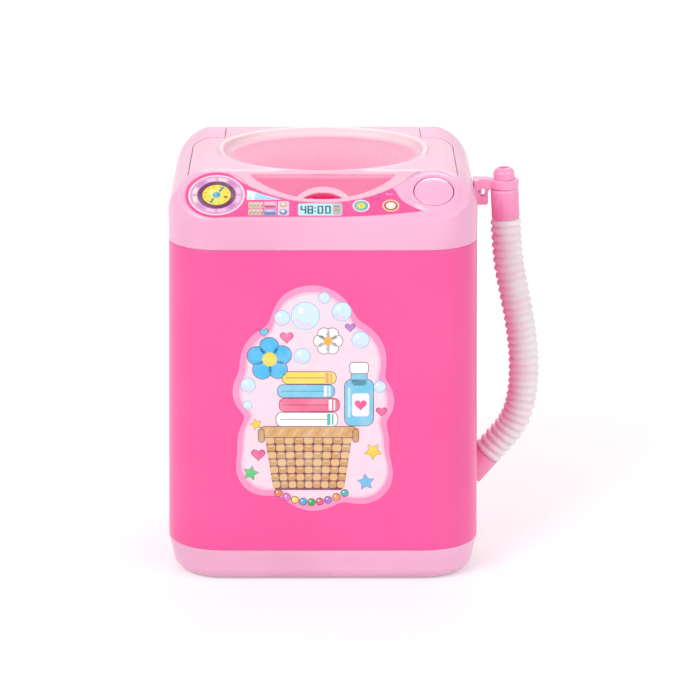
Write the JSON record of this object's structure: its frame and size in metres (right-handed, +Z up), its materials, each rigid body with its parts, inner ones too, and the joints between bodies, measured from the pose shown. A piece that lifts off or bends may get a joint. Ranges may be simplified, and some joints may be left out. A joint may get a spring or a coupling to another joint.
{
  "type": "toy washing machine",
  "caption": "Small battery toy washing machine with opening lid, spinning drum, push button, side drain hose in a bracket and rounded two-tone pink housing.",
  "frame": {"origin": "middle of the flat base, on the surface that the toy stands on", "axes": "+X to the side with the hose, +Y to the back, +Z up"},
  "size_m": [0.1195, 0.0866, 0.131],
  "materials": {
    "pale_pink": "glossy moulded plastic",
    "hot_pink": "glossy moulded plastic",
    "rose_pink": "glossy moulded plastic",
    "hose_plastic": "soft translucent polyethylene",
    "label_film": "printed film",
    "decal_film": "printed die cut film",
    "tub_plastic": "semi gloss moulded plastic",
    "gear_plastic": "satin acetal",
    "seal_rubber": "matt",
    "drain_plastic": "soft clear vinyl",
    "steel": "zinc plated",
    "contact_metal": "nickel brass strip",
    "cell_wrap": "plain shrink wrap over a steel can",
    "lead_vinyl": "vinyl lead insulation"
  },
  "bodies": {
    "housing": {"base_tray": "pale_pink", "battery_door": "pale_pink", "door_screw": "steel", "battery_cell_1": "cell_wrap", "battery_cell_2": "cell_wrap", "battery_contacts": "contact_metal", "battery_springs": "steel", "base_screws": "steel", "body_shell": "hot_pink", "cover_screws": "steel", "top_cover": "pale_pink", "console_label": "label_film", "front_decal": "decal_film", "wash_tub": "tub_plastic", "tub_ring": "tub_plastic", "tub_gasket": "seal_rubber", "tub_screws": "steel", "shaft_bush": "gear_plastic", "shaft_seal": "seal_rubber", "gear_plate": "gear_plastic", "plate_screws": "steel", "motor_can": "steel", "motor_end_cap": "gear_plastic", "motor_screws": "steel", "switch_body": "gear_plastic", "button_spring": "steel", "drain_pipe": "drain_plastic", "outlet_bush": "rose_pink", "hose_bracket": "rose_pink", "bracket_screw": "steel", "wiring": "lead_vinyl"},
    "lid": {"lid": "pale_pink"},
    "button": {"power_button": "pale_pink", "button_clip": "steel"},
    "drum": {"spin_basket": "tub_plastic", "agitator": "rose_pink", "agitator_nut": "rose_pink", "drum_shaft": "steel", "drum_gear": "gear_plastic"},
    "rotor": {"motor_shaft": "steel", "motor_pinion": "gear_plastic"},
    "hose": {"outlet_elbow": "rose_pink", "drain_hose": "hose_plastic", "hose_nozzle": "rose_pink"}
  },
  "joints": [
    {"name": "lid_hinge", "type": "hinge", "parent": "housing", "child": "lid", "pos_m": [0, 0.0365, 0.124], "axis": [-1, 0, 0], "range_deg": [0, 100]},
    {"name": "button_push", "type": "slide", "parent": "housing", "child": "button", "axis": [0, 0.515, -0.8572], "range_m": [0, 0.0015], "stiffness_N_per_m": 400, "springref_m": -0.0005, "deforming": ["button_spring"]},
    {"name": "drum_spin", "type": "hinge", "parent": "housing", "child": "drum", "pos_m": [0, 0.002, 0.085], "axis": [0, 0, 1], "continuous": true},
    {"name": "motor_spin", "type": "hinge", "parent": "housing", "child": "rotor", "pos_m": [-0.015, 0.002, 0.04], "axis": [0, 0, 1], "continuous": true},
    {"name": "hose_swing", "type": "hinge", "parent": "housing", "child": "hose", "pos_m": [0.0512, 0, 0.026], "axis": [-1, 0, 0], "range_deg": [0, 100]}
  ],
  "couplings": [
    {"joint": "motor_spin", "follows": "drum_spin", "ratio": -4}
  ]
}
